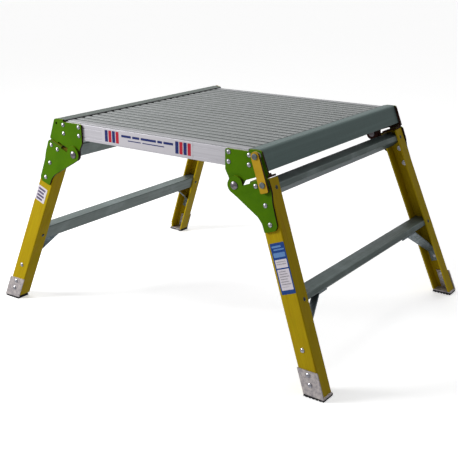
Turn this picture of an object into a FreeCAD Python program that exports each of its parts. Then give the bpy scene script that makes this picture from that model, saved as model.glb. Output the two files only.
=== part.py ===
import FreeCAD
import Part
import math
import os

# Folding work platform: a ribbed aluminium deck on two folding leg frames.
# Frame: origin on the floor under the middle of the deck, X along the deck ribs from one leg
# frame to the other, Y across, Z up. Millimetres. The legs stand in their opened position.
#
# Everything at the +X end is built once, then turned half a turn about Z for the -X end.
# At one end, pieces of the +Y ("far") side are built and mirrored in Y for the -Y ("near") side.

Vec = FreeCAD.Vector
X_AXIS = Vec(1, 0, 0)
Y_AXIS = Vec(0, 1, 0)
Z_AXIS = Vec(0, 0, 1)
ORIGIN = Vec(0, 0, 0)

# ---------------------------------------------------------------- driving dimensions
DECK_TOP = 500.3          # top of the deck ribs
DECK_BOTTOM = 458.6       # lower edge of the side faces
DECK_HALF_Y = 324.0
PLANK_HALF_X = 284.8
RIB_PITCH = 26.55
EDGE_RIB = 31.95          # the outermost rib is wider than the rest
RIBS_PER_PLANK = 4
PLANKS = 6
RIB_TOP_WIDTH = 15.0
RIB_FOOT_WIDTH = 18.0
RIB_HEIGHT = 1.8
SKIN = 2.3                # deck skin below the rib grooves
WEB = 2.2
FASCIA_WEB = 2.8

NOSE_CREST = 504.5        # highest line of the end nosing
NOSE_LIP_X = 271.0
NOSE_WALL = 2.4
NOSE_TONGUE_X = 262.0

PIVOT_X = 241.6           # leg hinge axis
PIVOT_Z = 420.6
LEG_TILT = 21.19          # opened leg, degrees from vertical
LEG_FLARE = 5.0           # stiles spread sideways, degrees

PLATE = 4.8               # thickness of brackets and hinge plates
RUN_GAP = 0.4             # between bracket and hinge plate
BEND_S = 24.0             # where the hinge plate bends out to follow the stile
CAP_S = 0.4               # top of the hinge plate's bent-in cap over the stile
CAP = 4.2                 # thickness of that cap
CAP_N0 = 43.5             # inboard edge of the cap
BEND_R = 3.6              # outer radius of its bend
STOP_GAP = 0.2            # between that cap and the bracket's stop

STILE_N0 = 42.0           # stile edges, measured outboard from the hinge axis
STILE_N1 = 86.0
STILE_DEPTH = 35.3
STILE_WALL = 4.0
STILE_TOP = CAP_S + CAP + 0.2

RUNG_HALF_BACK = 20.2     # half height of the rung's inboard face
RUNG_HALF_FRONT = 6.2     # half height of its outboard face
RUNG_WALL = 2.2
UPPER_RUNG_S = 28.2
LOWER_RUNG_S = 269.8

PAD_HEIGHT = 4.5          # rubber under the shoe
PAD_LIP = 3.0
SHOE_BASE = 3.0
SHOE_TOP = 58.0
SHOE_SKIN = 3.0

PIN_R = 5.0               # hinge pin
PIN_CLEARANCE = 0.06
LATCH_PIN_R = 3.0
SPARE_HOLE_R = 3.1
RIVET_R = 3.0
TAIL_R = 4.2              # flat tail on the inside of a rivet or pin
DOME_R = 5.2
DOME_H = 3.0
FLANGE_RIVET_R = 2.4      # through the stile flanges into the rung ends
WASHER = 1.6              # ring washers inside the stile

LATCH_X = 299.0           # latch pivot
LATCH_Z = 492.6
LATCH_TILT = 18.6
LATCH_WIDTH = 21.0
LATCH_LENGTH = 79.0
LATCH_BAR_Y = 338.0       # inner face of the latch bar
LATCH_BAR = 4.6

BRACKET_Y0 = DECK_HALF_Y
BRACKET_Y1 = BRACKET_Y0 + PLATE
HINGE_Y0 = BRACKET_Y1 + RUN_GAP
HINGE_Y1 = HINGE_Y0 + PLATE

# hole and rivet places: (x, z) on the brackets, (n, s) on the legs
BRACKET_RIVETS = ((223.2, 490.5), (223.2, 469.3), (275.8, 490.5), (275.8, 469.3))
LEG_RIVET_A = (53.5, 13.5)
LEG_RIVET_B = (75.8, 12.8)
LEG_RIVET_C = (65.2, 58.0)
LEG_RIVET_D = (65.2, 99.6)
BRACE_RIVET = (64.3, 371.0)
LATCH_STUD = (76.0, 25.0)
LATCH_RIVET = (76.8, 14.8)
SHOE_RIVETS = ((65.0, 424.0), (63.5, 446.0))

os.makedirs("parts", exist_ok=True)


# ---------------------------------------------------------------- general helpers
def box(x0, x1, y0, y1, z0, z1):
    return Part.makeBox(x1 - x0, y1 - y0, z1 - z0, Vec(x0, y0, z0))


def rod(radius, start, direction, length):
    return Part.makeCylinder(radius, length, start, direction)


def joined(shapes):
    result = shapes[0]
    for shape in shapes[1:]:
        result = result.fuse(shape)
    return result.removeSplitter()


def mirrored_y(shape):
    return shape.mirror(ORIGIN, Y_AXIS)


def half_turn(shape):
    copy = shape.copy()
    copy.rotate(ORIGIN, Z_AXIS, 180)
    return copy


def rounded_wire(corners, place):
    """Closed outline through corners (a, b, radius), each rounded by a tangent arc."""
    count = len(corners)
    ends = []
    arcs = []
    for i in range(count):
        a0, b0 = corners[i - 1][0:2]
        a1, b1, radius = corners[i]
        a2, b2 = corners[(i + 1) % count][0:2]
        corner = Vec(a1, b1, 0)
        back = (Vec(a0, b0, 0) - corner).normalize()
        ahead = (Vec(a2, b2, 0) - corner).normalize()
        if radius <= 0:
            ends.append((corner, corner))
            arcs.append(None)
            continue
        half = back.getAngle(ahead) / 2
        reach = radius / math.tan(half)
        bisector = (back + ahead).normalize()
        middle = corner + bisector * (radius / math.sin(half) - radius)
        start = corner + back * reach
        finish = corner + ahead * reach
        ends.append((start, finish))
        arcs.append((start, middle, finish))
    edges = []
    for i in range(count):
        if arcs[i]:
            p, q, r = (place(v) for v in arcs[i])
            edges.append(Part.Arc(p, q, r).toShape())
        start = place(ends[i][1])
        finish = place(ends[(i + 1) % count][0])
        if start.distanceToPoint(finish) > 1e-6:
            edges.append(Part.makeLine(start, finish))
    return Part.Wire(edges)


def plate_xz(corners, y0, y1):
    """Prism with an outline in the XZ plane, from y0 to y1."""
    wire = rounded_wire(corners, lambda v: Vec(v.x, y0, v.y))
    return Part.Face(wire).extrude(Vec(0, y1 - y0, 0))


def prism_yz(points, x0, x1):
    """Prism with a sharp-cornered outline in the YZ plane, from x0 to x1."""
    wire = Part.makePolygon([Vec(x0, y, z) for y, z in points + points[:1]])
    return Part.Face(wire).extrude(Vec(x1 - x0, 0, 0))


def dome(radius, height, centre, direction):
    """Rivet head: a spherical cap standing on a thin straight rim."""
    rim = height * 0.25
    cap = height - rim
    sphere_r = (radius * radius + cap * cap) / (2 * cap)
    outline = [Vec(0, 0, 0), Vec(radius, 0, 0), Vec(radius, 0, rim)]
    side = radius * 0.7
    middle = Vec(side, 0, height - sphere_r + math.sqrt(sphere_r ** 2 - side ** 2))
    edges = [
        Part.makeLine(outline[0], outline[1]),
        Part.makeLine(outline[1], outline[2]),
        Part.Arc(outline[2], middle, Vec(0, 0, height)).toShape(),
        Part.makeLine(Vec(0, 0, height), outline[0]),
    ]
    head = Part.Face(Part.Wire(edges)).revolve(ORIGIN, Z_AXIS, 360)
    head.Placement = FreeCAD.Placement(centre, FreeCAD.Rotation(Z_AXIS, direction))
    return head


def rivet(foot, direction, grip, tail=1.4):
    """Dome-head rivet: head outside, shank through the grip, flat tail inside."""
    out = Vec(direction).normalize()
    head = dome(DOME_R, DOME_H, foot, out)
    shank = rod(RIVET_R, foot - out * grip, out, grip)
    tail_disc = rod(TAIL_R, foot - out * (grip + tail), out, tail)
    return joined([head, shank, tail_disc])


def save(node, shape):
    if isinstance(shape, list):
        shape = Part.makeCompound(shape)
    shape.exportStep("parts/" + node + ".step")


# ---------------------------------------------------------------- frames of the leg
def leg_to_world(shape):
    """Leg frame: x outboard from the hinge axis, y across, z = -(distance down the leg)."""
    copy = shape.copy()
    copy.rotate(ORIGIN, Y_AXIS, -LEG_TILT)
    copy.translate(Vec(PIVOT_X, 0, PIVOT_Z))
    return copy


def stile_to_leg(shape):
    """Stile frame: y = 0 on the web's outer face of the +Y stile, z = 0 at the plate's bend."""
    copy = shape.copy()
    copy.rotate(ORIGIN, X_AXIS, LEG_FLARE)
    copy.translate(Vec(0, HINGE_Y0, -BEND_S))
    return copy


def leg_point(n, s):
    """World (x, z) of a point n outboard of and s below the hinge axis, along the leg."""
    c = math.cos(math.radians(LEG_TILT))
    t = math.sin(math.radians(LEG_TILT))
    return PIVOT_X + t * s + c * n, PIVOT_Z - c * s + t * n


def below(z_top):
    """The space around a foot, under a level, in world coordinates."""
    return box(300, 600, 0, 600, -100, z_top)


# ---------------------------------------------------------------- deck
def plank_edges():
    edges = [-DECK_HALF_Y, -DECK_HALF_Y + EDGE_RIB + 3 * RIB_PITCH]
    for _ in range(PLANKS - 2):
        edges.append(edges[-1] + RIBS_PER_PLANK * RIB_PITCH)
    edges.append(DECK_HALF_Y)
    return edges


def deck_plank(y0, y1, fascia_side):
    """Ribbed hollow plank; fascia_side is -1 or +1 for the plank with an outer face, or 0."""
    groove_z = DECK_TOP - RIB_HEIGHT
    low = y0 if fascia_side < 0 else y0 + 0.1
    high = y1 if fascia_side > 0 else y1 - 0.1
    top = [(low, groove_z)]
    position = y0
    for rib in range(RIBS_PER_PLANK):
        first = fascia_side < 0 and rib == 0
        last = fascia_side > 0 and rib == RIBS_PER_PLANK - 1
        cell = EDGE_RIB if first or last else RIB_PITCH
        centre = position + cell / 2
        foot_half = RIB_FOOT_WIDTH / 2 + (cell - RIB_PITCH) / 2
        top_half = RIB_TOP_WIDTH / 2 + (cell - RIB_PITCH) / 2
        top.append((centre - foot_half, groove_z))
        top.append((centre - top_half, DECK_TOP))
        top.append((centre + top_half, DECK_TOP))
        top.append((centre + foot_half, groove_z))
        position += cell
    top.append((high, groove_z))
    section = top + [(high, DECK_BOTTOM), (low, DECK_BOTTOM)]
    solid = prism_yz(section, -PLANK_HALF_X, PLANK_HALF_X)
    wall_low = FASCIA_WEB if fascia_side < 0 else WEB
    wall_high = FASCIA_WEB if fascia_side > 0 else WEB
    long = PLANK_HALF_X + 1
    flange = 14.0
    hollow = box(-long, long, low + wall_low, high - wall_high,
                 DECK_BOTTOM + WEB, groove_z - SKIN)
    mouth = box(-long, long, low + wall_low + flange, high - wall_high - flange,
                DECK_BOTTOM - 1, DECK_BOTTOM + WEB + 1)
    middle = (low + wall_low + high - wall_high) / 2
    roof = groove_z - SKIN
    stem = box(-PLANK_HALF_X, PLANK_HALF_X, middle - WEB / 2, middle + WEB / 2, DECK_BOTTOM, roof)
    foot = box(-PLANK_HALF_X, PLANK_HALF_X, middle - 6, middle + 6, DECK_BOTTOM, DECK_BOTTOM + WEB)
    solid = joined([solid.cut(hollow).cut(mouth), stem, foot])
    for x in (-long, NOSE_LIP_X - 0.2):
        seat = box(x, x + long - NOSE_LIP_X + 0.2, low, high, DECK_TOP - 0.3, DECK_TOP + 1)
        solid = solid.cut(seat)
    if fascia_side:
        face = fascia_side * DECK_HALF_Y
        for z in (466.5, 489.0):
            solid = solid.cut(box(-long, long, face - 0.8, face + 0.8, z - 1.1, z + 1.1))
        for x, z in BRACKET_RIVETS:
            for end in (-1, 1):
                hole = rod(RIVET_R, Vec(end * x, face - 8, z), Y_AXIS, 16)
                solid = solid.cut(hole)
        corner = [e for e in solid.Edges if on_line(e, face, groove_z)]
        solid = solid.makeFillet(1.6, corner)
    return solid


def on_line(edge, y, z):
    a = edge.Vertexes[0].Point
    b = edge.Vertexes[-1].Point
    return all(abs(p.y - y) < 0.01 and abs(p.z - z) < 0.01 for p in (a, b)) and edge.Length > 100


def nosing_face_x(z):
    """Outboard face of the nosing, parallel to the opened leg."""
    return 301.5 + (502.0 - z) * math.tan(math.radians(LEG_TILT))


def nosing():
    """Hollow end extrusion: lip over the plank ends, sloping outer face, riveting tongue below."""
    web = PLANK_HALF_X + 0.2
    outer = [
        (NOSE_TONGUE_X, DECK_BOTTOM - NOSE_WALL, 0.6),
        (web + NOSE_WALL, DECK_BOTTOM - NOSE_WALL, 1.0),
        (web + NOSE_WALL, DECK_BOTTOM, 0),
        (nosing_face_x(DECK_BOTTOM), DECK_BOTTOM, 2.0),
        (nosing_face_x(NOSE_CREST), NOSE_CREST, 7.0),
        (web + 3.0, NOSE_CREST, 12.0),
        (NOSE_LIP_X, DECK_TOP + 1.7, 0.7),
        (NOSE_LIP_X, DECK_TOP + 0.2, 0.3),
        (web, DECK_TOP + 0.2, 0),
        (web, DECK_BOTTOM, 0),
        (NOSE_TONGUE_X, DECK_BOTTOM, 0),
    ]
    slant = NOSE_WALL / math.cos(math.radians(LEG_TILT))
    low = DECK_BOTTOM + NOSE_WALL
    high = NOSE_CREST - NOSE_WALL
    inner = [
        (web + NOSE_WALL, low, 1.0),
        (nosing_face_x(low) - slant, low, 1.0),
        (nosing_face_x(high) - slant, high, 4.6),
        (web + NOSE_WALL, high, 2.0),
    ]
    body = plate_xz(outer, -DECK_HALF_Y, DECK_HALF_Y)
    body = body.cut(plate_xz(inner, -DECK_HALF_Y - 1, DECK_HALF_Y + 1))
    for x, y in nosing_rivet_places():
        body = body.cut(rod(RIVET_R, Vec(x, y, DECK_BOTTOM - 10), Z_AXIS, 20))
    return body


def nosing_rivet_places():
    """Two rivets per plank, through the tongue and the plank's bottom flanges."""
    places = []
    edges = plank_edges()
    for y0, y1 in zip(edges[:-1], edges[1:]):
        places.append((273.5, y0 + 10.0))
        places.append((273.5, y1 - 10.0))
    return places


def nosing_rivets():
    rivets = []
    for x, y in nosing_rivet_places():
        foot = Vec(x, y, DECK_BOTTOM - NOSE_WALL)
        rivets.append(rivet(foot, Vec(0, 0, -1), NOSE_WALL + WEB))
    return rivets


def deck_planks():
    edges = plank_edges()
    planks = []
    for i in range(PLANKS):
        side = -1 if i == 0 else (1 if i == PLANKS - 1 else 0)
        plank = deck_plank(edges[i], edges[i + 1], side)
        for x, y in nosing_rivet_places():
            if edges[i] < y < edges[i + 1]:
                for end in (-1, 1):
                    hole = rod(RIVET_R, Vec(end * x, y, DECK_BOTTOM - 5), Z_AXIS, 12)
                    plank = plank.cut(hole)
        planks.append(plank)
    return planks


# ---------------------------------------------------------------- platform brackets
def bracket(latch_hole_r):
    """Plate riveted to the deck side, with the hinge lobe and the bent-in leg stop (+Y side)."""
    top = DECK_TOP - 2.8
    crest = NOSE_CREST - 1.2
    out_top = nosing_face_x(crest) + 5.0
    stop_s = CAP_S - STOP_GAP
    corners = [
        (214.2, top, 5.0),
        (274.0, top, 1.5),
        (277.0, crest, 2.5),
        (out_top, crest, 7.0),
        leg_point(STILE_N1 + 4.0, stop_s) + (1.5,),
        leg_point(61.0, stop_s) + (1.0,),
        leg_point(60.0, -3.8) + (1.0,),
        leg_point(27.0, -3.8) + (3.0,),
        leg_point(14.0, 8.0) + (0,),
        (PIVOT_X, PIVOT_Z, 0),
        (PIVOT_X - 17.0, PIVOT_Z, 0),
        (PIVOT_X - 17.0, 433.0, 20.0),
        (214.2, 451.0, 14.0),
    ]
    plate = plate_xz(corners, BRACKET_Y0, BRACKET_Y1)
    lobe = rod(17.0, Vec(PIVOT_X, BRACKET_Y0, PIVOT_Z), Y_AXIS, PLATE)
    stop = leg_to_world(box(61.0, STILE_N1 + 0.5, BRACKET_Y0 - 12.0, BRACKET_Y1 - 1.0,
                            -stop_s, -stop_s + 4.6))
    body = joined([plate, lobe, stop])
    holes = [rod(RIVET_R, Vec(x, BRACKET_Y0 - 1, z), Y_AXIS, PLATE + 2) for x, z in BRACKET_RIVETS]
    holes.append(rod(PIN_R, Vec(PIVOT_X, BRACKET_Y0 - 1, PIVOT_Z), Y_AXIS, PLATE + 2))
    holes.append(rod(latch_hole_r, Vec(LATCH_X, BRACKET_Y0 - 1, LATCH_Z), Y_AXIS, PLATE + 2))
    for hole in holes:
        body = body.cut(hole)
    return body


def bracket_rivets():
    grip = PLATE + FASCIA_WEB
    return [rivet(Vec(x, BRACKET_Y1, z), Y_AXIS, grip) for x, z in BRACKET_RIVETS]


def hinge_pin():
    """Pin with a domed outer head and a flat inner head."""
    head_y = HINGE_Y1 + 0.25
    inner = BRACKET_Y0
    centre = Vec(PIVOT_X, 0, PIVOT_Z)
    head = dome(9.0, 4.2, centre + Vec(0, head_y, 0), Y_AXIS)
    shank = rod(PIN_R, centre + Vec(0, inner, 0), Y_AXIS, head_y - inner)
    tail = rod(8.0, centre + Vec(0, inner - 4.0, 0), Y_AXIS, 4.0)
    return joined([head, shank, tail])


def latch_pin():
    """Pin with a flat outer head; its inner tail is dressed flat beside the nosing's wall."""
    centre = Vec(LATCH_X, 0, LATCH_Z)
    bar_out = LATCH_BAR_Y + LATCH_BAR + 0.2
    shank = rod(LATCH_PIN_R, centre + Vec(0, BRACKET_Y0, 0), Y_AXIS, bar_out - BRACKET_Y0)
    head = rod(6.5, centre + Vec(0, bar_out, 0), Y_AXIS, 2.4)
    head = head.makeFillet(0.8, [head.Edges[0]])
    tail = rod(TAIL_R, centre + Vec(0, BRACKET_Y0 - 2.2, 0), Y_AXIS, 2.2)
    return joined([head, shank, tail.cut(nosing())])


def latch_spacer():
    centre = Vec(LATCH_X, BRACKET_Y1, LATCH_Z)
    length = LATCH_BAR_Y - 0.2 - BRACKET_Y1
    return rod(7.0, centre, Y_AXIS, length).cut(rod(LATCH_PIN_R, centre, Y_AXIS, length))


# ---------------------------------------------------------------- latch
def latch_to_world(shape):
    """Latch frame: x outboard, z up along the bar, origin on the latch pivot."""
    copy = shape.copy()
    copy.rotate(ORIGIN, Y_AXIS, -LATCH_TILT)
    copy.translate(Vec(LATCH_X, 0, LATCH_Z))
    return copy


def latch_bar():
    half = LATCH_WIDTH / 2
    y0 = LATCH_BAR_Y
    y1 = LATCH_BAR_Y + LATCH_BAR
    corners = [(-half, 0, 0), (half, 0, 0), (half, -LATCH_LENGTH, 3.5), (-half, -LATCH_LENGTH, 3.5)]
    bar = joined([plate_xz(corners, y0, y1), rod(half, Vec(0, y0, 0), Y_AXIS, LATCH_BAR)])
    rim = [e for e in bar.Edges if abs(e.BoundBox.YMin - y1) < 0.01 and abs(e.BoundBox.YMax - y1) < 0.01]
    bar = bar.makeFillet(0.7, rim)
    bar = bar.cut(rod(LATCH_PIN_R + PIN_CLEARANCE, Vec(0, y0 - 1, 0), Y_AXIS, LATCH_BAR + 2))
    bar = latch_to_world(bar)
    x, z = leg_point(*LATCH_RIVET)
    return bar.cut(rod(RIVET_R, Vec(x, y0 - 1, z), Y_AXIS, LATCH_BAR + 2))


def latch_catch():
    """Hook plate behind the bar: it covers the stud from above and from outboard."""
    stud_n, stud_s = LATCH_STUD
    beside, above = 4.6, 4.9
    corners = [
        (stud_n - 6.5, -(stud_s - 16.0), 2.0),
        (stud_n + 10.0, -(stud_s - 16.0), 2.0),
        (stud_n + 10.0, -(stud_s + 1.5), 2.0),
        (stud_n + beside, -(stud_s + 1.5), 1.0),
        (stud_n + beside, -(stud_s - above), 1.5),
        (stud_n - 6.5, -(stud_s - above), 1.0),
    ]
    plate = leg_to_world(plate_xz(corners, HINGE_Y1 + 0.5, LATCH_BAR_Y))
    x, z = leg_point(*LATCH_RIVET)
    return plate.cut(rod(RIVET_R, Vec(x, HINGE_Y1, z), Y_AXIS, 10))


def latch_rivet():
    """Flat-headed rivet that holds the catch to the bar."""
    x, z = leg_point(*LATCH_RIVET)
    length = LATCH_BAR_Y + LATCH_BAR - HINGE_Y1 - 0.5
    shank = rod(RIVET_R, Vec(x, HINGE_Y1 + 0.5, z), Y_AXIS, length)
    head = rod(6.5, Vec(x, LATCH_BAR_Y + LATCH_BAR, z), Y_AXIS, 2.2)
    head = head.makeFillet(0.8, [head.Edges[0]])
    return joined([head, shank])


# ---------------------------------------------------------------- leg frame
def through_web(n, s, radius, y_out=12.0, y_in=-12.0):
    """Cylinder across the stile web at a leg position, in the stile frame."""
    t = (s - BEND_S) / math.cos(math.radians(LEG_FLARE))
    return rod(radius, Vec(n, y_in, -t), Y_AXIS, y_out - y_in)


def stile_holes():
    cuts = [through_web(n, s, RIVET_R) for n, s in
            (LEG_RIVET_C, LEG_RIVET_D, BRACE_RIVET) + SHOE_RIVETS]
    return [stile_to_leg(cut) for cut in cuts]


def flat_holes(latch_corner):
    """Holes square to the flat head of the hinge plate, leg frame."""
    second = LATCH_STUD if latch_corner else LEG_RIVET_B
    return [rod(RIVET_R, Vec(n, HINGE_Y0 - 10, -s), Y_AXIS, 25) for n, s in (LEG_RIVET_A, second)]


def flange_rivet_places():
    """(s, y) of the rivets through the flanges into the rung ends."""
    places = []
    for s in (UPPER_RUNG_S, LOWER_RUNG_S):
        y = HINGE_Y0 + (s - BEND_S) * math.tan(math.radians(LEG_FLARE)) - 21.5
        places.append((s, y))
    return places


def heel_relief():
    """Room for the other end's hinge lobes and pin heads, which this leg's feet fold past."""
    span = 2 * PIVOT_X
    rings = []
    for reach, y in ((18.8, HINGE_Y1 + 0.6), (9.8, HINGE_Y1 + 4.8)):
        ring = rod(span + reach, ORIGIN, Y_AXIS, y)
        rings.append(ring.cut(rod(span - reach, ORIGIN, Y_AXIS, y)))
    return rings


def stile(latch_corner, relieved):
    """Pultruded C channel, open inboard across the frame."""
    long = 520.0
    top = (BEND_S - STILE_TOP) / math.cos(math.radians(LEG_FLARE))
    outer = box(STILE_N0, STILE_N1, -STILE_DEPTH, 0, -long, top)
    corner_edges = [e for e in outer.Edges if e.Length > 400 and abs(e.BoundBox.YMax) < 0.01]
    outer = outer.makeFillet(3.0, corner_edges)
    inner = box(STILE_N0 + STILE_WALL, STILE_N1 - STILE_WALL, -STILE_DEPTH - 1, -STILE_WALL,
                -long - 1, top + 1)
    body = stile_to_leg(outer.cut(inner))
    cuts = stile_holes() + flat_holes(latch_corner)
    if relieved:
        cuts += heel_relief()
    for s, y in flange_rivet_places():
        cuts.append(rod(FLANGE_RIVET_R, Vec(STILE_N0 - 5, y, -s), X_AXIS, STILE_N1 - STILE_N0 + 10))
    for cut in cuts:
        body = body.cut(cut)
    return leg_to_world(body).cut(below(PAD_HEIGHT + SHOE_BASE))


def hinge_outline():
    """Corners (n, s, radius) of the hinge plate, from its lobe round to the knee."""
    return [
        (17.0, 5.0, 0),
        (CAP_N0 - 2.5, 5.0, 1.0),
        (CAP_N0, CAP_S, 1.5),
        (89.0, CAP_S, 11.0),
        (88.5, 36.0, 30.0),
        (84.0, 58.0, 40.0),
        (82.0, 107.0, 5.0),
        (75.0, 115.0, 8.0),
        (46.0, 114.0, 3.0),
        (45.5, 94.0, 22.0),
        (39.0, 78.5, 20.0),
    ]


def outside_bend():
    """What a round outer edge leaves off where the plate turns in over the stile, leg frame."""
    length = STILE_N1 + 10 - CAP_N0
    edge = box(CAP_N0, CAP_N0 + length, HINGE_Y1 - BEND_R, HINGE_Y1 + 1, -CAP_S - BEND_R, -CAP_S + 1)
    return edge.cut(rod(BEND_R, Vec(CAP_N0, HINGE_Y1 - BEND_R, -CAP_S - BEND_R), X_AXIS, length))


def hinge_plate(latch_corner):
    """Plate on the stile: hinge lobe, cap bent in over the stile's top, lower part bent out."""
    lobe_r = 18.0
    knee = hinge_outline()[-1]
    span = math.hypot(knee[0], knee[1])
    angle = math.atan2(knee[1], knee[0]) + math.acos(lobe_r / span)
    tangent = (lobe_r * math.cos(angle), lobe_r * math.sin(angle), 0)
    outline = hinge_outline() + [tangent, (0, 0, 0)]
    corners = [(n, -s, r) for n, s, r in outline]

    def slab(y0):
        plate = plate_xz(corners, y0, y0 + PLATE)
        disc = rod(lobe_r, Vec(0, y0, 0), Y_AXIS, PLATE)
        shoulder = rod(lobe_r, Vec(4.0, y0, 2.0), Y_AXIS, PLATE)
        return joined([plate, disc, shoulder])

    flat = slab(HINGE_Y0).common(box(-50, 150, 0, 400, -BEND_S, 50))
    tilted = slab(0).common(box(-50, 150, -10, 20, -200, -BEND_S))
    tilted.translate(Vec(0, 0, BEND_S))
    cap = box(CAP_N0 + 1.5, STILE_N1 - 8.0, HINGE_Y0 - 33.0, HINGE_Y1 - 1.0, -CAP_S - CAP, -CAP_S)
    cap_end = box(STILE_N1 - 8.0, STILE_N1, HINGE_Y0 - 33.0, HINGE_Y0 - 0.5, -CAP_S - CAP, -CAP_S)
    body = joined([flat, stile_to_leg(tilted), cap, cap_end])
    body = body.cut(outside_bend())
    cuts = stile_holes() + flat_holes(latch_corner)
    cuts.append(rod(PIN_R + PIN_CLEARANCE, Vec(0, HINGE_Y0 - 5, 0), Y_AXIS, 20))
    for cut in cuts:
        body = body.cut(cut)
    return leg_to_world(body)


def between_webs():
    """Space between the webs' inner faces, leg frame."""
    wedge = stile_to_leg(box(-50, 200, -STILE_WALL, 150, -600, 100))
    return [wedge, mirrored_y(wedge)]


def rung_section(s, inset):
    n0 = STILE_N0 + STILE_WALL
    n1 = STILE_N1 - STILE_WALL
    slope = (RUNG_HALF_BACK - RUNG_HALF_FRONT) / (n1 - n0)
    shift = inset * math.sqrt(1 + slope * slope)
    back = RUNG_HALF_BACK - shift - inset * slope
    front = RUNG_HALF_FRONT - shift + inset * slope
    round_r = 2.2 if inset == 0 else 0.8
    return [
        (n0 + inset, -s + back, round_r),
        (n1 - inset, -s + front, round_r),
        (n1 - inset, -s - front, round_r),
        (n0 + inset, -s - back, round_r),
    ]


def rung(s):
    """Hollow trapezoid tread, level on top when the leg stands open."""
    half = 380.0
    outer = plate_xz(rung_section(s, 0), -half, half)
    inner = plate_xz(rung_section(s, RUNG_WALL), -half - 1, half + 1)
    body = outer.cut(inner)
    for wedge in between_webs():
        body = body.cut(wedge)
    if s == UPPER_RUNG_S:
        for n, depth in (LEG_RIVET_A, LEG_RIVET_B, LATCH_STUD):
            for side in (-1, 1):
                pocket = rod(TAIL_R + 0.4, Vec(n, HINGE_Y0 - STILE_WALL - 3.0, -depth), Y_AXIS, 8.0)
                body = body.cut(pocket if side > 0 else mirrored_y(pocket))
    for place_s, y in flange_rivet_places():
        if place_s == s:
            for side in (-1, 1):
                body = body.cut(rod(FLANGE_RIVET_R, Vec(STILE_N0 - 5, side * y, -s), X_AXIS, 60))
    return leg_to_world(body)


def brace():
    """Bent flat strip from the lower rung's underside out to the stile web."""
    n0, n1 = 51.5, 76.5
    thick = 3.5
    slope = (RUNG_HALF_BACK - RUNG_HALF_FRONT) / (STILE_N1 - STILE_N0 - 2 * STILE_WALL)

    def under_rung(n):
        centre_offset = RUNG_HALF_BACK - slope * (n - STILE_N0 - STILE_WALL)
        return LOWER_RUNG_S + centre_offset

    def rung_section_at(y):
        a, b = under_rung(n0), under_rung(n1)
        drop = thick * math.sqrt(1 + slope * slope)
        return [Vec(n0, y, -a), Vec(n1, y, -b), Vec(n1, y, -b - drop), Vec(n0, y, -a - drop)]

    def web_y(s):
        return HINGE_Y0 + (s - BEND_S) * math.tan(math.radians(LEG_FLARE)) - STILE_WALL - 0.02

    def web_section_at(s, cut_angle):
        lean = math.tan(math.radians(cut_angle)) * thick
        y = web_y(s)
        return [Vec(n0, y - thick, -s - lean), Vec(n1, y - thick, -s - lean),
                Vec(n1, y, -s), Vec(n0, y, -s)]

    def loft(first, second):
        wires = [Part.makePolygon(p + p[:1]) for p in (first, second)]
        return Part.makeLoft(wires, True, True)

    bend_y = 256.0
    tab = loft(rung_section_at(222.0), rung_section_at(bend_y))
    diagonal = loft(rung_section_at(bend_y), web_section_at(356.0, 20.0))
    foot = loft(web_section_at(356.0, 20.0), web_section_at(386.0, 0.0))
    body = joined([tab, diagonal, foot])
    body = body.cut(stile_to_leg(through_web(BRACE_RIVET[0], BRACE_RIVET[1], RIVET_R)))
    return leg_to_world(body)


def foot_column():
    """The stile's outline plus the shoe plate, as a solid prism through the floor."""
    return leg_to_world(stile_to_leg(box(41.6, 88.4, -STILE_DEPTH, SHOE_SKIN, -520, -380)))


def pad_bounds():
    level = foot_column().common(box(300, 600, 0, 600, PAD_HEIGHT - 0.01, PAD_HEIGHT + 0.01))
    return level.BoundBox


def shoe(relieved):
    """Pressed shoe: outer plate, level base and a narrow tab inside the channel."""
    plate = leg_to_world(stile_to_leg(box(41.6, 88.4, 0, SHOE_SKIN, -520, -340)))
    plate = plate.common(box(300, 600, 0, 600, PAD_HEIGHT, SHOE_TOP))
    inboard = pad_bounds().XMin + PAD_LIP
    base = foot_column().common(box(inboard, 600, 0, 600, PAD_HEIGHT, PAD_HEIGHT + SHOE_BASE))
    if relieved:
        for ring in heel_relief():
            base = base.cut(leg_to_world(ring))
    tab = leg_to_world(stile_to_leg(box(56, 72.6, -STILE_WALL - 2.5, -STILE_WALL, -520, -340)))
    tab = tab.common(box(300, 600, 0, 600, PAD_HEIGHT + 1, SHOE_TOP - 2.0))
    body = joined([plate, base, tab])
    for n, s in SHOE_RIVETS:
        body = body.cut(leg_to_world(stile_to_leg(through_web(n, s, RIVET_R))))
    return body


def foot_pad(relieved):
    """Rubber tread block under the shoe, grooved across, with a raised lip."""
    bounds = pad_bounds()
    x0, x1 = bounds.XMin, bounds.XMax
    y0, y1 = bounds.YMin, bounds.YMax
    inner = HINGE_Y1 + 0.8 if relieved else y0 - 2.0
    corners = [(x0, inner, 3.0), (x1, inner, 3.0), (x1, y1, 3.0), (x0, y1, 3.0)]
    wire = rounded_wire(corners, lambda v: Vec(v.x, v.y, 0))
    pad = Part.Face(wire).extrude(Vec(0, 0, PAD_HEIGHT))
    lip_top = PAD_HEIGHT + SHOE_BASE
    side_lip = box(x0 + 0.8, x0 + PAD_LIP - 0.2, inner + 3.2, y1 - 5.6, PAD_HEIGHT - 1, lip_top)
    pad = joined([pad, side_lip])
    grooves = 6
    pitch = (x1 - x0) / grooves
    for i in range(grooves):
        centre = x0 + pitch * (i + 0.5)
        pad = pad.cut(rod(1.7, Vec(centre, inner - 1, 0), Y_AXIS, y1 - inner + 2))
    if relieved:
        pad = pad.cut(leg_to_world(heel_relief()[1]))
    return pad


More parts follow.
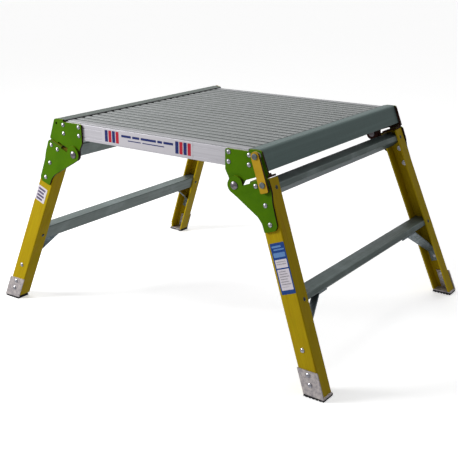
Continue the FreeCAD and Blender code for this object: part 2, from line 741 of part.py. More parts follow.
def leg_rivets(latch_corner):
    """Dome rivets of one stile: hinge plate, brace, shoe and rung ends."""
    group = []
    flat = [LEG_RIVET_A] if latch_corner else [LEG_RIVET_A, LEG_RIVET_B]
    for n, s in flat:
        gap = (BEND_S - s + TAIL_R) * math.tan(math.radians(LEG_FLARE)) + 0.02
        group.append(rivet(Vec(n, HINGE_Y1, -s), Y_AXIS, PLATE + gap + STILE_WALL))
    tilted = []
    for n, s in (LEG_RIVET_C, LEG_RIVET_D):
        tilted.append((n, s, PLATE, PLATE + STILE_WALL + WASHER))
    tilted.append((BRACE_RIVET[0], BRACE_RIVET[1], 0, STILE_WALL + 3.6))
    tilted.append((SHOE_RIVETS[0][0], SHOE_RIVETS[0][1], SHOE_SKIN, SHOE_SKIN + STILE_WALL + 2.5))
    tilted.append((SHOE_RIVETS[1][0], SHOE_RIVETS[1][1], SHOE_SKIN, SHOE_SKIN + STILE_WALL + 2.5))
    for n, s, face, grip in tilted:
        t = (s - BEND_S) / math.cos(math.radians(LEG_FLARE))
        group.append(stile_to_leg(rivet(Vec(n, face, -t), Y_AXIS, grip)))
    for s, y in flange_rivet_places():
        for n, way in ((STILE_N0, -1), (STILE_N1, 1)):
            head = dome(4.4, 2.2, Vec(n, y, -s), Vec(way, 0, 0))
            shank = rod(FLANGE_RIVET_R, Vec(n, y, -s), Vec(-way, 0, 0), STILE_WALL + RUNG_WALL)
            group.append(joined([head, shank]))
    return [leg_to_world(shape) for shape in group]


def ring_washers():
    """Ring washers under the rivet tails inside the stile, behind the hinge plate."""
    group = []
    for n, s in (LEG_RIVET_C, LEG_RIVET_D):
        ring = through_web(n, s, 7.0, -STILE_WALL, -STILE_WALL - WASHER)
        hole = through_web(n, s, RIVET_R, 0, -20)
        group.append(leg_to_world(stile_to_leg(ring.cut(hole))))
    return group


def latch_stud():
    """Headless stud on the hinge plate that the catch hooks over."""
    n, s = LATCH_STUD
    end = LATCH_BAR_Y - 0.5
    slack = 0.45
    start = HINGE_Y1 + slack
    inner = HINGE_Y0 - STILE_WALL - slack
    boss = rod(4.0, Vec(n, start, -s), Y_AXIS, end - start)
    shank = rod(RIVET_R, Vec(n, inner, -s), Y_AXIS, start - inner)
    tail = rod(TAIL_R, Vec(n, inner - 1.6, -s), Y_AXIS, 1.6)
    return leg_to_world(joined([boss, shank, tail]))


# ---------------------------------------------------------------- export
def save_both_ends(name, shape):
    shapes = shape if isinstance(shape, list) else [shape]
    save(name.format("right"), shapes if len(shapes) > 1 else shapes[0])
    turned = [half_turn(s) for s in shapes]
    save(name.format("left"), turned if len(turned) > 1 else turned[0])


for number, plank in enumerate(deck_planks(), 1):
    save("deck_plank_" + str(number), plank)

save_both_ends("nosing_{}", nosing())
end_rivets = nosing_rivets()
save("nosing_rivets", end_rivets + [half_turn(r) for r in end_rivets])

side_rivets = bracket_rivets()
side_rivets += [mirrored_y(r) for r in side_rivets]
save("bracket_rivets", side_rivets + [half_turn(r) for r in side_rivets])

# The latch is on the near corner of the right end, and half a turn from there, the left far one.
latched_bracket = mirrored_y(bracket(LATCH_PIN_R))
spare_bracket = bracket(SPARE_HOLE_R)
save("bracket_right_near", latched_bracket)
save("bracket_left_far", half_turn(latched_bracket))
save("bracket_right_far", spare_bracket)
save("bracket_left_near", half_turn(spare_bracket))

pin = hinge_pin()
save("hinge_pin_right_far", pin)
save("hinge_pin_left_near", half_turn(pin))
save("hinge_pin_right_near", mirrored_y(pin))
save("hinge_pin_left_far", half_turn(mirrored_y(pin)))

for piece, maker in (("latch_pin", latch_pin), ("latch_spacer", latch_spacer),
                     ("latch_bar", latch_bar), ("latch_catch", latch_catch),
                     ("latch_rivet", latch_rivet), ("latch_stud", latch_stud)):
    save_both_ends(piece + "_{}", mirrored_y(maker()))

# The left leg folds up first and lies highest, so only its feet need the heel relief.
for end, turn in (("right", lambda s: s), ("left", half_turn)):
    near, far = ("near", "far") if end == "right" else ("far", "near")
    relieved = end == "left"
    for piece, latched, plain in (
            ("stile", stile(True, relieved), stile(False, relieved)),
            ("hinge_plate", hinge_plate(True), hinge_plate(False)),
            ("brace", brace(), brace()),
            ("shoe", shoe(relieved), shoe(relieved)),
            ("foot_pad", foot_pad(relieved), foot_pad(relieved))):
        save(piece + "_" + end + "_" + near, turn(mirrored_y(latched)))
        save(piece + "_" + end + "_" + far, turn(plain))
    save("upper_rung_" + end, turn(rung(UPPER_RUNG_S)))
    save("lower_rung_" + end, turn(rung(LOWER_RUNG_S)))
    rivets = [mirrored_y(r) for r in leg_rivets(True)] + leg_rivets(False)
    save("leg_rivets_" + end, [turn(r) for r in rivets])
    washers = ring_washers()
    save("ring_washers_" + end, [turn(w) for w in washers + [mirrored_y(w) for w in washers]])
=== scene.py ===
import math

import bmesh
import bpy
import numpy as np
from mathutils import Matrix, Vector


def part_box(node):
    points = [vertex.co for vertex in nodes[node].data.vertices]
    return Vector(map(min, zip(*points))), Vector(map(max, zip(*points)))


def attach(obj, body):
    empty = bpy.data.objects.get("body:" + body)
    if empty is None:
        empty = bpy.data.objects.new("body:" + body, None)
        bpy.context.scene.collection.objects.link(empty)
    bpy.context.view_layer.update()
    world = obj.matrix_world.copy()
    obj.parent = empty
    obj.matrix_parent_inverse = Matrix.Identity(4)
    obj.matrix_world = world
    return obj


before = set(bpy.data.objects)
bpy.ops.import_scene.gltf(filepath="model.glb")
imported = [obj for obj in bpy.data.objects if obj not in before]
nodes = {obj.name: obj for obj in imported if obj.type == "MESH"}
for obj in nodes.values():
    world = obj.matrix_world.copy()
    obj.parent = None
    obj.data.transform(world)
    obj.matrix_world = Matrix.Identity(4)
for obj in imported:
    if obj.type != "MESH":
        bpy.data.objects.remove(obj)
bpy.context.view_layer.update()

MM = 0.001
NEAR = Vector((0, -1, 0))
FAR = Vector((0, 1, 0))
ALONG_X = Vector((1, 0, 0))
ALONG_Y = Vector((0, 1, 0))
ALONG_Z = Vector((0, 0, 1))
DECK_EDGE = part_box("deck_plank_6")[1].y        # outer side face of the deck
LIP_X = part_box("nosing_right")[0].x + 9 * MM   # inboard edge of the nosing's lip


# ------------------------------------------------------------------ shader helpers
def colour(r, g, b):
    """Linear RGBA from 0-255 display values."""
    out = []
    for value in (r, g, b):
        s = value / 255
        out.append(s / 12.92 if s <= 0.04045 else ((s + 0.055) / 1.055) ** 2.4)
    return (*out, 1)


class Nodes:
    """A node tree and the few patterns that the looks below are made of."""

    def __init__(self, tree):
        self.tree = tree
        self.place = self.add("ShaderNodeTexCoord")

    def add(self, kind, inputs=None, **settings):
        node = self.tree.nodes.new(kind)
        for key, value in settings.items():
            setattr(node, key, value)
        for key, value in (inputs or {}).items():
            if isinstance(value, bpy.types.NodeSocket):
                self.tree.links.new(value, node.inputs[key])
            else:
                node.inputs[key].default_value = value
        return node

    def math(self, operation, *values):
        node = self.add("ShaderNodeMath", dict(enumerate(values)), operation=operation)
        return node.outputs[0]

    def grain_space(self, axis, across, along):
        """Object coordinates squeezed so that a noise runs in streaks along axis (sizes in metres)."""
        rotation = axis.to_track_quat("Z", "Y").to_euler()
        inputs = {"Vector": self.place.outputs["Object"], "Rotation": rotation,
                  "Scale": (across, across, along)}
        return self.add("ShaderNodeMapping", inputs, vector_type="TEXTURE").outputs[0]

    def noise(self, vector, scale, detail, roughness):
        inputs = {"Vector": vector, "Scale": scale, "Detail": detail, "Roughness": roughness}
        return self.add("ShaderNodeTexNoise", inputs).outputs["Fac"]

    def blotches(self, size, detail, roughness):
        return self.noise(self.place.outputs["Object"], 1 / size, detail, roughness)

    def between(self, value, low, high, to_low=0.0, to_high=1.0):
        inputs = {"Value": value, "From Min": low, "From Max": high, "To Min": to_low, "To Max": to_high}
        node = self.add("ShaderNodeMapRange", inputs, interpolation_type="SMOOTHSTEP")
        return node.outputs[0]

    def mix(self, factor, first, second):
        node = self.add("ShaderNodeMix", data_type="RGBA", blend_type="MIX")
        for socket, value in ((node.inputs[0], factor), (node.inputs[6], first), (node.inputs[7], second)):
            if isinstance(value, bpy.types.NodeSocket):
                self.tree.links.new(value, socket)
            else:
                socket.default_value = value
        return node.outputs[2]

    def mix_value(self, factor, first, second):
        node = self.add("ShaderNodeMix", {0: factor, 2: first, 3: second}, data_type="FLOAT")
        return node.outputs[0]

    def facing(self, direction):
        """1 where the surface faces direction, in the piece's own axes."""
        inputs = {0: self.place.outputs["Normal"], 1: direction}
        return self.add("ShaderNodeVectorMath", inputs, operation="DOT_PRODUCT").outputs["Value"]

    def coordinate(self, letter):
        return self.add("ShaderNodeSeparateXYZ", {0: self.place.outputs["Object"]}).outputs[letter]

    def edges(self, radius):
        """1 along sharp edges, fading out over radius."""
        bevel = self.add("ShaderNodeBevel", {"Radius": radius}, samples=4)
        flat = self.add("ShaderNodeNewGeometry").outputs["Normal"]
        inputs = {0: bevel.outputs[0], 1: flat}
        match = self.add("ShaderNodeVectorMath", inputs, operation="DOT_PRODUCT").outputs["Value"]
        return self.between(match, 0.995, 0.90)


class Shader(Nodes):
    """A Principled material; sockets are further uniform values, with _ for a space."""

    def __init__(self, name, metallic, roughness, **sockets):
        self.material = bpy.data.materials.new(name)
        self.material.use_nodes = True
        super().__init__(self.material.node_tree)
        self.bsdf = self.tree.nodes["Principled BSDF"]
        self.bsdf.inputs["Metallic"].default_value = metallic
        self.bsdf.inputs["Roughness"].default_value = roughness
        for socket, value in sockets.items():
            self.bsdf.inputs[socket.replace("_", " ")].default_value = value

    def drive(self, socket, value):
        self.tree.links.new(value, self.bsdf.inputs[socket])

    def colour_is(self, value):
        self.drive("Base Color", value)

    def roughness_is(self, value):
        self.drive("Roughness", value)

    def bumps(self, *layers, bevel=0.0):
        """layers are (height, depth in metres); bevel softens the shading of sharp edges."""
        normal = None
        if bevel:
            normal = self.add("ShaderNodeBevel", {"Radius": bevel}, samples=4).outputs[0]
        for value, depth in layers:
            inputs = {"Height": value, "Distance": depth, "Strength": 1.0}
            if normal:
                inputs["Normal"] = normal
            normal = self.add("ShaderNodeBump", inputs).outputs[0]
        self.tree.links.new(normal, self.bsdf.inputs["Normal"])


# ------------------------------------------------------------------ looks
def rung_look():
    """Mill-finish aluminium: drawn streaks, faint blotches, small scuffs, and painted shade on the
    undersides, which are dark and dull.
    """
    metallic, roughness = 0.4, 0.42
    dark, base, light = colour(90, 102, 100), colour(102, 114, 112), colour(126, 138, 138)
    look = Shader("rung_aluminium", metallic, roughness)
    streak = look.noise(look.grain_space(ALONG_Y, 0.0035, 0.35), 1, 4, 0.6)
    fine = look.noise(look.grain_space(ALONG_Y, 0.0007, 0.08), 1, 3, 0.6)
    cloud = look.blotches(0.11, 4, 0.6)
    scuff = look.noise(look.grain_space(ALONG_Y + Vector((0.3, 0.2, 0.4)), 0.0016, 0.03), 1, 3, 0.7)
    tone = look.mix(look.between(streak, 0.34, 0.66), dark, base)
    tone = look.mix(look.between(cloud, 0.45, 0.75), tone, light)
    tone = look.mix(look.between(scuff, 0.66, 0.74, 0, 0.5), tone, light)
    tone = look.mix(look.edges(0.8 * MM), tone, light)
    # painted shade: faces that look down get a dark tone and lose their metal and gloss
    above = look.between(look.facing(ALONG_Z), -0.60, -0.40)
    look.colour_is(look.mix(above, colour(70, 90, 94), tone))
    look.drive("Metallic", look.mix_value(above, 0.0, metallic))
    look.drive("Specular IOR Level", look.mix_value(above, 0.08, 0.5))
    look.roughness_is(look.between(fine, 0.3, 0.7, roughness - 0.07, roughness + 0.10))
    look.bumps((fine, 0.05 * MM), (streak, 0.08 * MM), bevel=0.5 * MM)
    return look.material


def deck_look():
    """Ribbed deck: worn rib tops with bright edges, painted shade in the grooves, pale side faces, painted
    shade at the ends where the deck runs under the nosings' lips.
    """
    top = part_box("deck_plank_3")[1].z
    groove_from, groove_full = top - 0.5 * MM, top - 1.2 * MM
    side_from, side_full = top - 2.4 * MM, top - 2.8 * MM
    edge_rib = DECK_EDGE - 26 * MM
    look = Shader("deck_aluminium", 0.35, 0.44, Specular_IOR_Level=0.4)
    streak = look.noise(look.grain_space(ALONG_X, 0.003, 0.40), 1, 3, 0.5)
    fine = look.noise(look.grain_space(ALONG_X, 0.0006, 0.06), 1, 3, 0.6)
    cloud = look.blotches(0.16, 3, 0.5)
    scuff = look.noise(look.grain_space(ALONG_X, 0.0014, 0.05), 1, 3, 0.7)
    rib = look.mix(look.between(streak, 0.3, 0.7), colour(128, 132, 131), colour(148, 151, 151))
    rib = look.mix(look.between(cloud, 0.5, 0.8, 0, 0.35), rib, colour(154, 156, 156))
    rib = look.mix(look.between(scuff, 0.68, 0.76, 0, 0.25), rib, colour(118, 120, 120))
    rib = look.mix(look.edges(0.8 * MM), rib, colour(190, 193, 194))
    # painted shade in the grooves: a dark tone, varied in blotches
    groove_painted_shade = look.mix(look.between(cloud, 0.35, 0.65), colour(66, 70, 70), colour(80, 84, 84))
    level = look.coordinate("Z")
    groove = look.between(level, groove_from, groove_full)
    side = look.between(level, side_from, side_full)
    rim = look.between(look.math("ABSOLUTE", look.coordinate("Y")), edge_rib, edge_rib + 1 * MM)
    side = look.math("MAXIMUM", side, look.math("MULTIPLY", rim, 0.4))
    side_tone = look.mix(look.between(streak, 0.3, 0.7), colour(184, 182, 188), colour(194, 192, 198))
    side_tone = look.mix(look.between(scuff, 0.68, 0.76, 0, 0.3), side_tone, colour(170, 168, 174))
    tone = look.mix(groove, rib, groove_painted_shade)
    tone = look.mix(side, tone, side_tone)
    # painted shade where the deck runs under a nosing's lip: almost black
    inward = look.math("ABSOLUTE", look.coordinate("X"))
    painted_shade_under_lip = look.math("MULTIPLY", look.between(inward, LIP_X - 2.0 * MM, LIP_X - 0.5 * MM),
                       look.between(level, side_full, side_from))
    tone = look.mix(painted_shade_under_lip, tone, colour(30, 34, 36))
    look.colour_is(tone)
    look.roughness_is(look.between(fine, 0.3, 0.7, 0.38, 0.52))
    look.bumps((fine, 0.03 * MM), (streak, 0.03 * MM), bevel=0.4 * MM)
    return look.material


def nosing_look(name, base, dark, light):
    """Smooth dark extrusion with wipe marks down its face and painted shade, in blotches, along its lip on
    the deck side.
    """
    look = Shader(name, 0.35, 0.40, Specular_IOR_Level=0.4)
    streak = look.noise(look.grain_space(ALONG_Y, 0.006, 0.5), 1, 3, 0.5)
    wipe = look.noise(look.grain_space(Vector((0.36, 0, -0.93)), 0.009, 0.06), 1, 4, 0.6)
    fine = look.noise(look.grain_space(ALONG_Y, 0.0007, 0.08), 1, 3, 0.6)
    tone = look.mix(look.between(streak, 0.3, 0.7), dark, base)
    tone = look.mix(look.between(wipe, 0.50, 0.80, 0, 0.4), tone, light)
    tone = look.mix(look.edges(0.8 * MM), tone, light)
    # painted shade along the lip on the deck side: almost black
    inward = look.math("ABSOLUTE", look.coordinate("X"))
    painted_lip_shade = look.math("MULTIPLY", look.between(inward, LIP_X + 4.8 * MM, LIP_X + 3.4 * MM),
                         look.between(look.blotches(0.02, 3, 0.6), 0.2, 0.55, 0.75, 1))
    tone = look.mix(painted_lip_shade, tone, colour(30, 34, 36))
    look.colour_is(tone)
    look.roughness_is(look.between(wipe, 0.3, 0.7, 0.34, 0.48))
    look.bumps((fine, 0.04 * MM), (streak, 0.04 * MM), bevel=0.5 * MM)
    return look.material


def grp_look(name, axis, base, shade):
    """Pultruded glass fibre: yellow resin, faint fibre lines along the channel, soft grime."""
    look = Shader(name, 0.0, 0.56, Specular_IOR_Level=0.08)
    fibre = look.noise(look.grain_space(axis, 0.0016, 0.09), 1, 5, 0.65)
    weave = look.noise(look.grain_space(axis, 0.0050, 0.05), 1, 4, 0.6)
    cloud = look.blotches(0.06, 4, 0.6)
    speck = look.blotches(0.0022, 2, 0.5)
    tone = look.mix(look.between(fibre, 0.3, 0.7), shade, base)
    tone = look.mix(look.between(weave, 0.48, 0.72, 0, 0.5), tone, colour(156, 120, 8))
    tone = look.mix(look.between(cloud, 0.5, 0.8, 0, 0.5), tone, colour(156, 142, 4))
    tone = look.mix(look.between(speck, 0.70, 0.76, 0, 0.5), tone, colour(104, 80, 16))
    tone = look.mix(look.edges(1.0 * MM), tone, colour(186, 166, 30))
    look.colour_is(tone)
    look.roughness_is(look.between(cloud, 0.3, 0.7, 0.44, 0.60))
    look.bumps((fibre, 0.08 * MM), (weave, 0.10 * MM), bevel=0.8 * MM)
    return look.material


def plate_look(name, outward, coats, edges, highlight_tone, gloss):
    """Coated steel plate: coating on the face that looks outward; painted shade in dark primer tones
    behind it and on its cut edges, and the same primer where the coating peels or chips.

    coats and edges are (low, high) tones; edges are the primer and the painted shade; upper is a painted
    highlight on edges that face up.
    """
    look = Shader(name, 0.0, 0.44, Specular_IOR_Level=gloss)
    cloud = look.blotches(0.035, 4, 0.6)
    peel = look.blotches(0.0025, 3, 0.5)
    chips = look.blotches(0.006, 4, 0.7)
    coat = look.mix(look.between(cloud, 0.3, 0.7), *coats)
    coat = look.mix(look.between(peel, 0.60, 0.85, 0, 0.35), coat, edges[0])
    primer_and_painted_shade = look.mix(look.between(cloud, 0.3, 0.7), *edges)
    broad = look.between(look.facing(outward), 0.86, 0.95)
    upward = look.between(look.facing(ALONG_Z), 0.55, 0.80)
    chipped = look.math("MULTIPLY", look.edges(1.2 * MM), look.between(chips, 0.56, 0.62))
    kept = look.math("SUBTRACT", 1.0, chipped)
    # painted shade: faces that don't look outward, the back and the cut edges, take the dark primer tones,
    # as chipped spots do
    tone = look.mix(look.math("MULTIPLY", broad, kept), primer_and_painted_shade, coat)
    # painted highlight: edges that face up take a lighter coat tone
    look.colour_is(look.mix(look.math("MULTIPLY", upward, kept), tone, highlight_tone))
    look.roughness_is(look.between(peel, 0.3, 0.7, 0.34, 0.50))
    look.bumps((peel, 0.04 * MM), (cloud, 0.12 * MM), bevel=0.6 * MM)
    return look.material


def metal_look(name, light, dark, roughness, metallic, rim=None):
    """Small steel hardware: plating with fine scratches, dull patches and bright edges.

    rim is a painted dark reflection round the sides of a head that faces near or far.
    """
    look = Shader(name, metallic, roughness)
    scratch = look.noise(look.grain_space(ALONG_Z, 0.0006, 0.02), 1, 4, 0.7)
    patch = look.blotches(0.008, 4, 0.65)
    tone = look.mix(look.between(patch, 0.35, 0.68), light, dark)
    tone = look.mix(look.between(scratch, 0.60, 0.72, 0, 0.6), tone, light)
    tone = look.mix(look.edges(0.6 * MM), tone, light)
    if rim:
        # painted reflection: the sides of a head darken towards the rim tone
        painted_flank_reflection = look.between(look.math("ABSOLUTE", look.facing(NEAR)), 0.72, 0.50)
        tone = look.mix(painted_flank_reflection, tone, rim)
    look.colour_is(tone)
    look.roughness_is(look.between(patch, 0.3, 0.7, roughness - 0.08, roughness + 0.12))
    look.bumps((scratch, 0.02 * MM), (patch, 0.04 * MM), bevel=0.4 * MM)
    return look.material


def rubber_look():
    """Moulded rubber: fine grit, and dust in patches."""
    look = Shader("sole_rubber", 0.0, 0.78, Specular_IOR_Level=0.3)
    grit = look.blotches(0.0012, 3, 0.6)
    dust = look.blotches(0.012, 4, 0.6)
    tone = look.mix(look.between(dust, 0.45, 0.8, 0, 0.5), colour(16, 15, 18), colour(52, 50, 50))
    look.colour_is(tone)
    look.roughness_is(look.between(grit, 0.3, 0.7, 0.68, 0.88))
    look.bumps((grit, 0.12 * MM), bevel=0.5 * MM)
    return look.material


def ink_look(name, base, worn):
    """Printed vinyl: even ink, rubbed lighter or darker in small patches."""
    look = Shader(name, 0.0, 0.36, Specular_IOR_Level=0.3)
    rub = look.blotches(0.004, 4, 0.65)
    grain = look.blotches(0.0006, 2, 0.5)
    look.colour_is(look.mix(look.between(rub, 0.45, 0.8, 0, 0.7), base, worn))
    look.roughness_is(look.between(rub, 0.3, 0.7, 0.30, 0.48))
    look.bumps((grain, 0.01 * MM))
    return look.material


# ------------------------------------------------------------------ faces of the leg channels
def web_face(node, outward):
    """The flat outer face of a stile: its normal, long axis pointing down, cross axis and corners.

    reach is its distance from the origin along the normal.
    """
    mesh = nodes[node].data
    normal = Vector()
    points = []
    for polygon in mesh.polygons:
        if polygon.normal.dot(outward) > 0.98:
            normal += polygon.normal * polygon.area
            points += [mesh.vertices[i].co for i in polygon.vertices]
    normal.normalize()
    reach = max(p.dot(normal) for p in points)
    points = np.array([p for p in points if p.dot(normal) > reach - 0.2 * MM])
    spread = np.linalg.svd(points - points.mean(axis=0), full_matrices=False)[2][0]
    down = Vector(spread)
    if down.z > 0:
        down = -down
    down = (down - normal * down.dot(normal)).normalized()
    across = normal.cross(down)
    return {"normal": normal, "down": down, "across": across, "points": points, "reach": reach}


def span(face, axis):
    """Least and greatest distance of the face's corners along axis."""
    values = face["points"] @ np.array(axis)
    return values.min(), values.max()


STILE_FACES = {"stile_" + end + "_" + side: web_face("stile_" + end + "_" + side, outward)
               for end in ("right", "left") for side, outward in (("near", NEAR), ("far", FAR))}


# ------------------------------------------------------------------ dress the CAD nodes
def dress(node, material):
    slots = nodes[node].data.materials
    slots.clear()
    slots.append(material)


def dress_all():
    deck = deck_look()
    for number in range(1, 7):
        dress("deck_plank_" + str(number), deck)
    # the two nosings are one extrusion: their different tones are painted light and shade, the left one
    # painted darker
    dress("nosing_right", nosing_look("nosing_right_skin", colour(94, 114, 112), colour(86, 105, 103),
                                      colour(106, 124, 122)))
    dress("nosing_left", nosing_look("nosing_left_skin", colour(92, 104, 98), colour(78, 88, 82),
                                     colour(116, 126, 120)))
    # the last tone of rivet_steel and pin_steel is a painted dark reflection round the sides of their
    # heads
    rivet = metal_look("rivet_steel", colour(178, 178, 184), colour(132, 130, 140), 0.28, 0.9,
                       colour(52, 58, 62))
    pin = metal_look("pin_steel", colour(138, 132, 138), colour(92, 88, 92), 0.30, 0.9,
                     colour(48, 50, 50))
    cap = metal_look("latch_pin_steel", colour(116, 124, 128), colour(84, 92, 92), 0.42, 0.6)
    zinc = metal_look("zinc_steel", colour(214, 214, 216), colour(176, 178, 184), 0.36, 0.3)
    shoe = metal_look("shoe_steel", colour(196, 188, 186), colour(152, 146, 150), 0.42, 0.35)
    rubber = rubber_look()
    rung = rung_look()
    brace = metal_look("brace_steel", colour(130, 142, 148), colour(88, 102, 106), 0.38, 0.3)
    # edges: dark primer tones, also painted shade on backs and cut edges; upper: a painted highlight on
    # edges that face up
    green_tones = {"coats": (colour(66, 106, 0), colour(74, 114, 0)),
                   "edges": (colour(40, 18, 16), colour(58, 30, 22)),
                   "highlight_tone": colour(118, 138, 20), "gloss": 0.06}
    green = {"near": plate_look("green_near", NEAR, **green_tones),
             "far": plate_look("green_far", FAR, **green_tones)}
    # the latch plates carry the same painted shade and painted highlight, in yellow
    latch_tones = {"coats": (colour(174, 138, 24), colour(190, 152, 34)),
                   "edges": (colour(44, 24, 12), colour(72, 44, 20)),
                   "highlight_tone": colour(190, 160, 60), "gloss": 0.12}
    latch = {"right": plate_look("latch_near", NEAR, **latch_tones),
             "left": plate_look("latch_far", FAR, **latch_tones)}
    for end in ("right", "left"):
        for side in ("near", "far"):
            corner = end + "_" + side
            dress("bracket_" + corner, green[side])
            dress("hinge_plate_" + corner, green[side])
            dress("hinge_pin_" + corner, pin)
            dress("stile_" + corner, grp_look("grp_" + corner, STILE_FACES["stile_" + corner]["down"],
                                              colour(178, 154, 8), colour(164, 138, 6)))
            dress("brace_" + corner, brace)
            dress("shoe_" + corner, shoe)
            dress("foot_pad_" + corner, rubber)
        dress("latch_pin_" + end, cap)
        dress("latch_spacer_" + end, zinc)
        dress("latch_bar_" + end, latch[end])
        dress("latch_catch_" + end, latch[end])
        dress("latch_rivet_" + end, cap)
        dress("latch_stud_" + end, zinc)
        dress("upper_rung_" + end, rung)
        dress("lower_rung_" + end, rung)
        dress("leg_rivets_" + end, rivet)
        dress("ring_washers_" + end, zinc)
    dress("nosing_rivets", rivet)
    dress("bracket_rivets", rivet)


dress_all()


# ------------------------------------------------------------------ stickers
VINYL = 0.25 * MM         # thickness of a sticker
INK = 0.06 * MM           # printing stands this far above it


def rounded_slab(mesh, place, area, radius, low, high, material):
    """Thin closed plate: area is (x0, y0, x1, y1), place turns (x, y, height) into a point."""
    x0, y0, x1, y1 = area
    steps = 5
    outline = []
    for cx, cy, start in ((x1 - radius, y1 - radius, 0), (x0 + radius, y1 - radius, 90),
                          (x0 + radius, y0 + radius, 180), (x1 - radius, y0 + radius, 270)):
        for step in range(steps + 1):
            angle = math.radians(start + 90 * step / steps)
            outline.append((cx + radius * math.cos(angle), cy + radius * math.sin(angle)))
    rings = [[mesh.verts.new(place(x, y, height)) for x, y in outline] for height in (low, high)]
    faces = [mesh.faces.new(rings[1]), mesh.faces.new(rings[0][::-1])]
    for i, corner in enumerate(rings[0]):
        j = (i + 1) % len(outline)
        faces.append(mesh.faces.new((corner, rings[0][j], rings[1][j], rings[1][i])))
    for face in faces:
        face.material_index = material


def sticker(name, body, corner, right, down, size, radius, blocks, inks):
    """Vinyl sheet whose top left corner is at corner; blocks are (area in mm, radius in mm, ink)."""
    out = down.cross(right).normalized()
    mesh = bmesh.new()

    def place(x, y, height):
        return corner + right * x + down * y + out * height

    rounded_slab(mesh, place, (0, 0, size[0] * MM, size[1] * MM), radius * MM, 0.02 * MM, VINYL, 0)
    for area, block_radius, ink in blocks:
        metres = [value * MM for value in area]
        rounded_slab(mesh, place, metres, block_radius * MM, VINYL - INK, VINYL + INK, ink)
    bmesh.ops.recalc_face_normals(mesh, faces=mesh.faces)
    data = bpy.data.meshes.new(name)
    mesh.to_mesh(data)
    mesh.free()
    for ink in inks:
        data.materials.append(ink)
    piece = bpy.data.objects.new(name, data)
    bpy.context.scene.collection.objects.link(piece)
    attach(piece, body)


def stile_sticker(name, stile, body, top, bottom, edge, width, radius, blocks, inks):
    """Sticker on a stile's web: top and bottom are distances down it, edge is from its inboard side."""
    face = STILE_FACES[stile]
    right = face["across"] if face["across"].x > 0 else -face["across"]
    down = face["down"]
    low_down, _ = span(face, down)
    left_edge, right_edge = span(face, right)
    inboard_is_left = "right" in stile
    start = left_edge + edge * MM if inboard_is_left else right_edge - (edge + width) * MM
    corner = down * (low_down + top * MM) + right * start + face["normal"] * face["reach"]
    sticker(name, body, corner, right, down, (width, bottom - top), radius, blocks, inks)


def stickers():
    """Plain labels: a panelled one, one with four lines, and a long one on the deck's side."""
    white = ink_look("vinyl_white", colour(214, 208, 216), colour(190, 184, 192))
    film = ink_look("vinyl_film", colour(192, 189, 195), colour(180, 178, 184))
    navy = ink_look("ink_navy", colour(18, 34, 96), colour(34, 54, 118))
    blue = ink_look("ink_blue", colour(10, 58, 128), colour(26, 78, 146))
    pale = ink_look("ink_pale_blue", colour(96, 136, 188), colour(70, 112, 168))
    grey = ink_look("ink_grey", colour(158, 152, 164), colour(176, 170, 180))
    slate = ink_look("ink_slate", colour(88, 80, 108), colour(116, 108, 132))
    red = ink_look("ink_red", colour(176, 22, 44), colour(150, 34, 54))

    # sizes and places of what is printed are millimetres from the sheet's top left corner
    top, wide, tall = 134.5, 36.0, 111.0
    blocks = [((3, 6, 27, 10), 1.6, 2), ((6, 13, 33, 16), 1.2, 2), ((3, 21, 33, 31), 2.0, 2),
              ((3, 36, 33, 54), 1.0, 1), ((3, 57, 33, 102), 1.0, 1)]
    rows = [((6, y, 30, y + 1.6), 0.6, 3) for y in (40, 45)]
    rows += [((6, 61 + 5.5 * i, 24 + 3 * (i % 3), 62.8 + 5.5 * i), 0.6, 3) for i in range(7)]
    stile_sticker("sticker_right_near", "stile_right_near", "leg_right", top, top + tall, 4.0, wide,
                  1.5, blocks + rows, [blue, white, pale, grey])

    top, wide, tall = 128.0, 33.0, 41.5
    rows = [((4, 5 + 9 * i, 28 - 3 * (i % 2), 10.5 + 9 * i), 1.0, 1) for i in range(4)]
    stile_sticker("sticker_left_near", "stile_left_near", "leg_left", top, top + tall, 7.0, wide,
                  1.5, rows, [white, slate])

    low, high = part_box("deck_plank_1")
    band_high = high.z - 4.2 * MM
    length, height = 273.0, 34.0
    bars = []
    stripe, pitch = 9.4, 11.6
    for left in (9.5, 224.0):
        for i, ink in enumerate((1, 2, 1, 2)):
            start = left + pitch * i
            bars.append(((start, 2.6, start + stripe, 30.6), 1.2, ink))
    words = ((62, 30), (96, 22), (122, 46), (172, 14), (190, 28))
    bars += [((x, 8.0, x + wide_word, 13.6), 1.2, 1) for x, wide_word in words]
    bars += [((82, 19.0, 122, 21.2), 0.8, 1), ((127, 19.0, 192, 21.2), 0.8, 1)]
    sticker("sticker_deck_side", "platform", Vector((-150 * MM, low.y, band_high)), ALONG_X, -ALONG_Z,
            (length, height), 1.0, bars, [film, navy, red])


stickers()


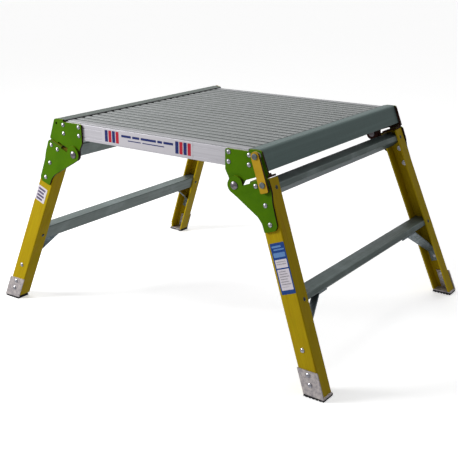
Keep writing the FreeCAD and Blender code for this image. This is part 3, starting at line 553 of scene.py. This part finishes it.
# ------------------------------------------------------------------ stage, light, camera
def backdrop():
    """White for the eye; diffuse light mostly from below, and a gloss that is darkest at the horizon."""
    world = bpy.data.worlds.new("studio")
    world.use_nodes = True
    shade = Nodes(world.node_tree)
    upward = shade.add("ShaderNodeSeparateXYZ", {0: shade.place.outputs["Generated"]}).outputs["Z"]
    diffuse = shade.between(upward, -0.9, 0.9, 0.74, 0.16)
    sky = shade.between(upward, 0.0, 0.60, 0.34, 0.80)
    ground = shade.between(upward, -0.15, -0.60, 0.0, 0.70)
    gloss = shade.math("ADD", sky, ground)
    ray = shade.add("ShaderNodeLightPath")
    strength = shade.mix_value(ray.outputs["Is Glossy Ray"], diffuse, gloss)
    strength = shade.mix_value(ray.outputs["Is Camera Ray"], strength, 1.0)
    background = shade.tree.nodes["Background"]
    background.inputs["Color"].default_value = (1, 1, 1, 1)
    shade.tree.links.new(strength, background.inputs["Strength"])
    bpy.context.scene.world = world


def add_light(kind, name, place, energy, **settings):
    light = bpy.data.lights.new(name, kind)
    light.energy = energy
    for key, value in settings.items():
        setattr(light, key, value)
    lamp = bpy.data.objects.new(name, light)
    lamp.location = place
    aim = Vector((0, 0, 0.3)) - Vector(place)
    lamp.rotation_euler = aim.to_track_quat("-Z", "Y").to_euler()
    bpy.context.scene.collection.objects.link(lamp)


def studio():
    """Pale paper floor that glows a little, a soft key light from the left and a high, wide fill."""
    floor_mesh = bpy.data.meshes.new("floor")
    size = 60.0
    floor_mesh.from_pydata([(-size, -size, 0), (size, -size, 0), (size, size, 0), (-size, size, 0)], [],
                           [(0, 1, 2, 3)])
    floor = bpy.data.objects.new("floor", floor_mesh)
    bpy.context.scene.collection.objects.link(floor)
    paper = Shader("floor_paper", 0.0, 0.9, Specular_IOR_Level=0.1, Emission_Color=(1, 1, 1, 1),
                   Emission_Strength=0.48)
    soft = paper.blotches(0.8, 2, 0.5)
    paper.colour_is(paper.mix(soft, colour(252, 252, 252), colour(254, 254, 254)))
    floor_mesh.materials.append(paper.material)
    floor.visible_diffuse = False
    floor.visible_glossy = False
    backdrop()
    add_light("AREA", "key", (-1.7, -1.5, 1.3), 55, shape="SQUARE", size=0.8)
    add_light("SUN", "fill", (-0.5, 0.6, 1.5), 1.0, angle=math.radians(40))


def camera():
    """Looks down at the deck from the right of the near side."""
    azimuth = math.radians(35.50)
    elevation = math.radians(18.41)
    lens = bpy.data.cameras.new("camera")
    lens.lens = 65.05
    lens.sensor_width = 36.0
    eye = bpy.data.objects.new("camera", lens)
    eye.location = (1.22158, -1.72672, 0.88944)
    look = Vector((-math.sin(azimuth) * math.cos(elevation), math.cos(azimuth) * math.cos(elevation),
                   -math.sin(elevation)))
    eye.rotation_euler = look.to_track_quat("-Z", "Y").to_euler()
    bpy.context.scene.collection.objects.link(eye)
    bpy.context.scene.camera = eye
    bpy.context.scene.view_settings.view_transform = "Standard"


studio()
camera()
